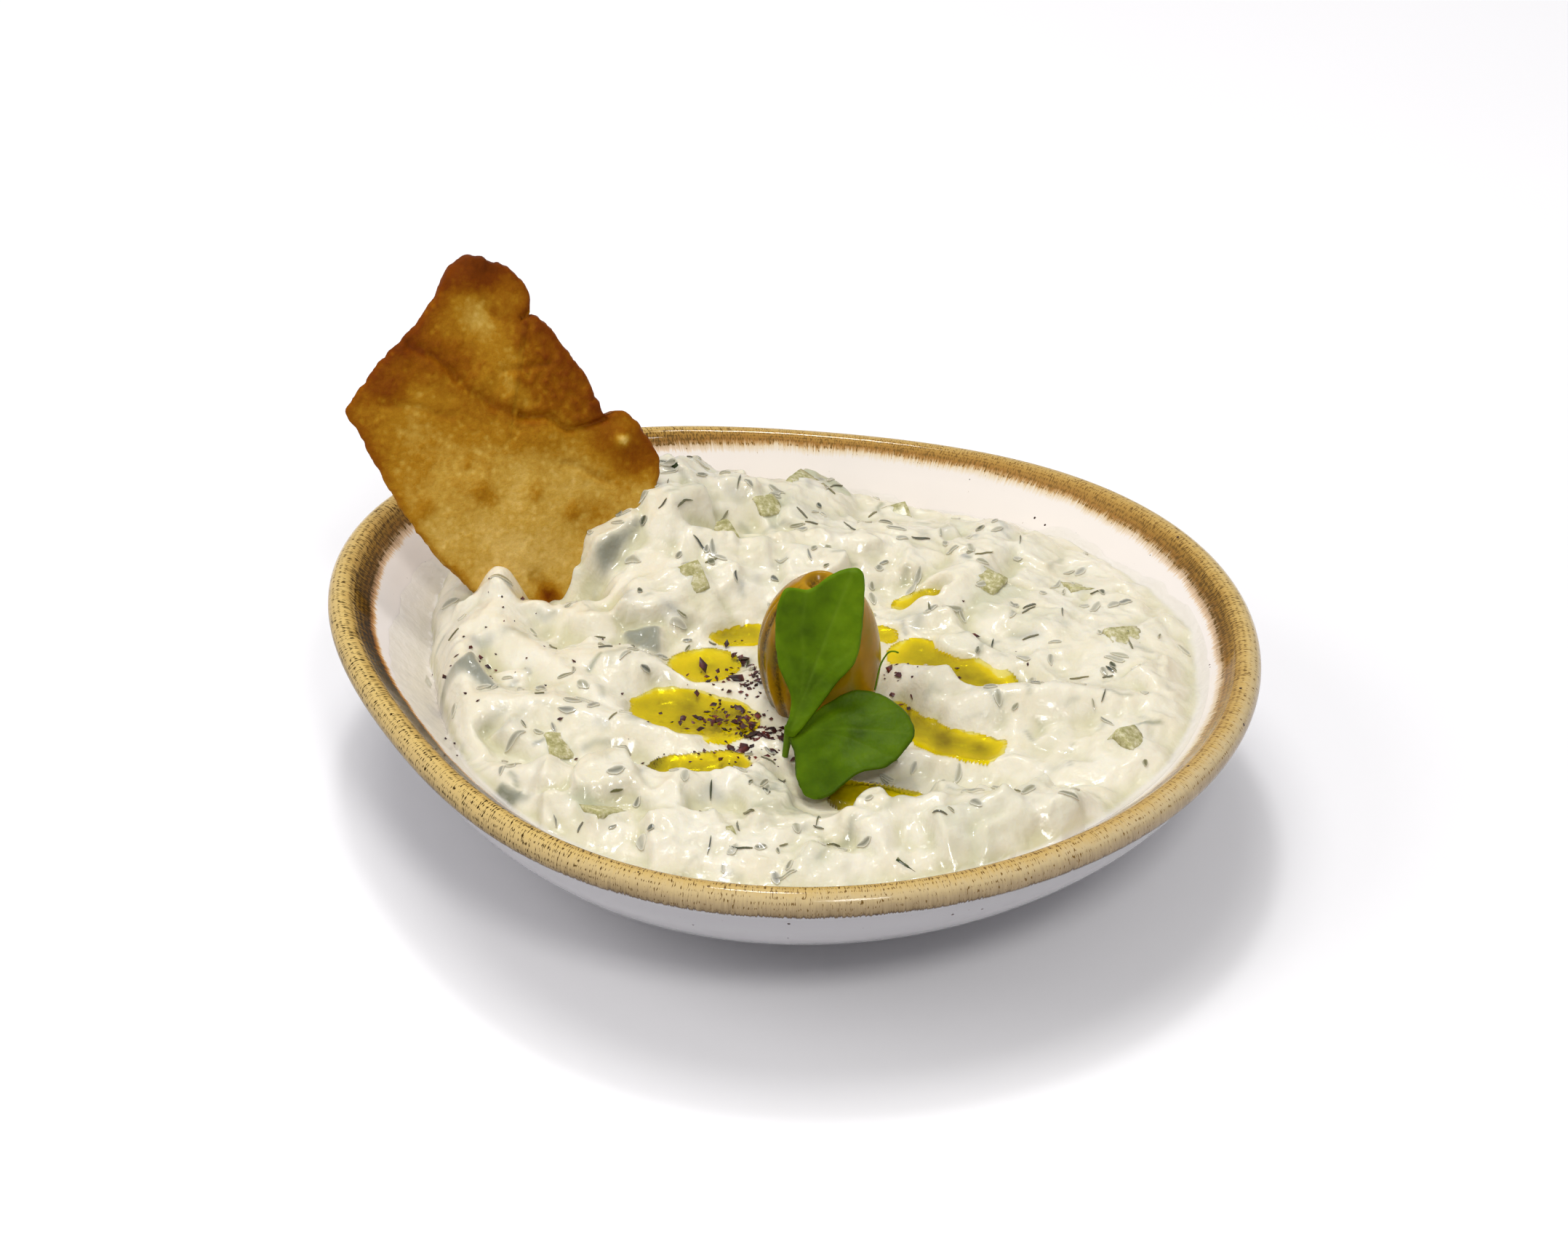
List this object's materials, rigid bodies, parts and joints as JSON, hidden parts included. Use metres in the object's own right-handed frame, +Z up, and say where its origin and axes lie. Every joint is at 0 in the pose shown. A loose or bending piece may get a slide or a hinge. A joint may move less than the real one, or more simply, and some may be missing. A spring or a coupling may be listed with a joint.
{
  "type": "bowl of tzatziki dip",
  "caption": "Yoghurt and cucumber dip swirled in an egg-shaped glazed bowl, topped with a pita chip, a green olive and a sprig of herb.",
  "frame": {"origin": "centre of the bounding box in plan, at the table under the bowl's foot ring", "axes": "+Z up; the chip is at the back left (-X, +Y), and the bowl's long axis runs near X; -Y faces the viewer"},
  "size_m": [0.1792, 0.1722, 0.0943],
  "materials": {
    "speckled_glaze": "glossy speckled white glaze, reactive gold-brown band at the rim",
    "yoghurt_dip": "wet cream with diced cucumber under it",
    "pita_crust": "dry fried crust, pale bubbles and brown edges",
    "olive_flesh": "oiled olive skin",
    "leaf": "fresh leaf, slightly waxy",
    "olive_oil": "clear golden oil",
    "cucumber": "wet translucent flesh with dark green skin",
    "dill": "thin fresh fronds",
    "sumac": "coarse dry ground spice"
  },
  "bodies": {
    "root": {"bowl": "speckled_glaze", "dip": "yoghurt_dip", "pita_chip": "pita_crust", "olive": "olive_flesh", "herb_sprig": "leaf"}
  },
  "joints": []
}
